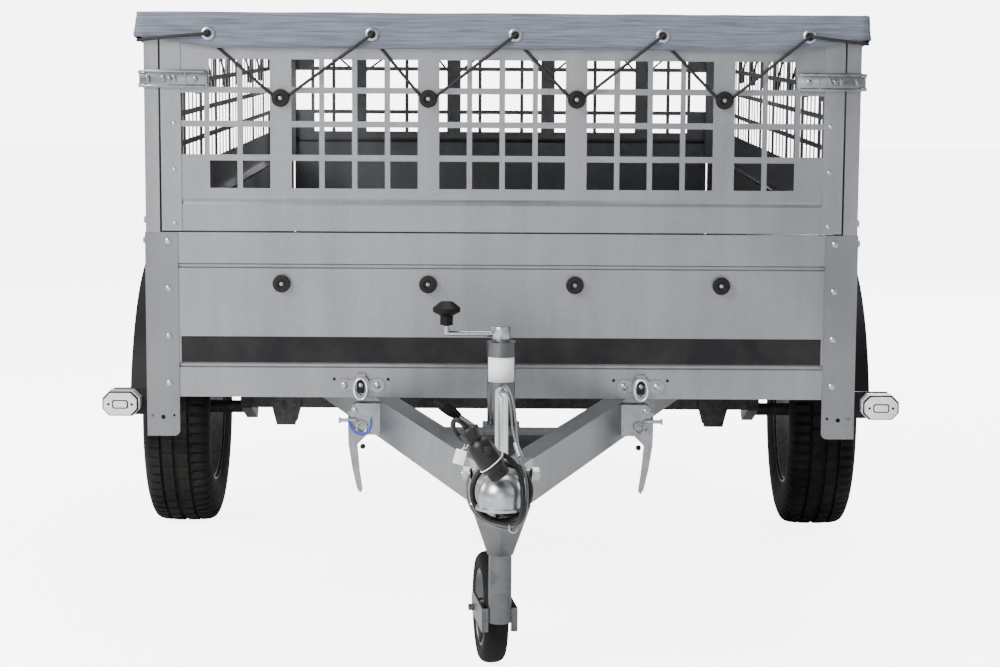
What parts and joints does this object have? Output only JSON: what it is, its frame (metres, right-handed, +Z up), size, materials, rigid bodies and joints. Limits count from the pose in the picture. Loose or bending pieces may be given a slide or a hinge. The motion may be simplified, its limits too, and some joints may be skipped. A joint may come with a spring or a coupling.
{
  "type": "utility trailer",
  "caption": "Single-axle tipping box trailer with perforated side extensions, flat tarpaulin, V drawbar, ball coupling and jockey wheel.",
  "frame": {"origin": "on the ground below the middle of the parked trailer", "axes": "X to the trailer's right, Y from the coupling to the tailgate, Z up"},
  "size_m": [1.6606, 3.2598, 1.2414],
  "materials": {
    "galvanised": "zinc coated sheet",
    "frame_zinc": "hot dip zinc",
    "bright_zinc": "bright plated",
    "black_plastic": "moulded",
    "clear_lens": "clear lens",
    "red_lens": "red lens",
    "plywood": "film faced plywood",
    "tyre": "tyre rubber",
    "tarp": "coated cloth"
  },
  "bodies": {
    "drawbar": {"drawbar_beam_left": "frame_zinc", "drawbar_beam_right": "frame_zinc", "drawbar_crossbar": "frame_zinc", "coupling": "bright_zinc", "coupling_handle": "bright_zinc", "jack_gusset": "frame_zinc", "jack_outer_tube": "bright_zinc", "jack_clamp": "frame_zinc", "jack_crank": "bright_zinc", "tip_latches": "bright_zinc"},
    "tailgate": {"tailgate": "galvanised"},
    "wheel_left": {"tyre_left": "tyre", "rim_left": "frame_zinc"},
    "wheel_right": {"tyre_right": "tyre", "rim_right": "frame_zinc"},
    "jack_slide": {"jack_nut": "bright_zinc"},
    "jack_castor": {"jack_inner_tube": "frame_zinc", "jack_fork": "frame_zinc"},
    "jack_wheel": {"jack_tyre": "tyre", "jack_rim": "frame_zinc"},
    "box": {"axle_arms": "frame_zinc", "axle_beam": "frame_zinc", "axle_brackets": "frame_zinc", "corner_clips_front": "bright_zinc", "corner_clips_rear": "bright_zinc", "corner_plates_front": "galvanised", "corner_plates_rear": "galvanised", "cross_members": "frame_zinc", "fender_left": "black_plastic", "fender_right": "black_plastic", "front_board": "galvanised", "front_lamps": "clear_lens", "hinge_brackets": "frame_zinc", "lamp_arms": "black_plastic", "light_bar": "frame_zinc", "load_floor": "plywood", "mesh_panel_front": "galvanised", "mesh_panel_left": "galvanised", "mesh_panel_rear": "galvanised", "mesh_panel_right": "galvanised", "plate_carrier": "black_plastic", "side_board_left": "galvanised", "side_board_right": "galvanised", "tail_lamps": "red_lens", "tarpaulin": "tarp", "tip_keepers": "bright_zinc"}
  },
  "joints": [
    {"name": "box_tip", "type": "hinge", "parent": "drawbar", "child": "box", "pos_m": [0, 0.4556, 0.46669], "axis": [-1, 0, 0], "range_deg": [0, 18]},
    {"name": "tailgate_hinge", "type": "hinge", "parent": "box", "child": "tailgate", "pos_m": [0, 1.61078, 0.55427], "axis": [-1, 0, 0], "range_deg": [0, 100]},
    {"name": "wheel_left_spin", "type": "hinge", "parent": "box", "child": "wheel_left", "pos_m": [-0.7475, 0.51728, 0.2735], "axis": [1, 0, 0], "continuous": true},
    {"name": "wheel_right_spin", "type": "hinge", "parent": "box", "child": "wheel_right", "pos_m": [0.7475, 0.51728, 0.2735], "axis": [1, 0, 0], "continuous": true},
    {"name": "jack_lower", "type": "slide", "parent": "drawbar", "child": "jack_slide", "axis": [0, 0.0344, -0.9994], "range_m": [-0.02, 0.15]},
    {"name": "jack_swivel", "type": "hinge", "parent": "jack_slide", "child": "jack_castor", "pos_m": [0, -1.0627, 0.10057], "axis": [0, -0.0344, 0.9994], "continuous": true},
    {"name": "jack_wheel_spin", "type": "hinge", "parent": "jack_castor", "child": "jack_wheel", "pos_m": [-0.01697, -0.93372, 0.1], "axis": [0.9914, 0.1304, 0.0045], "continuous": true}
  ]
}
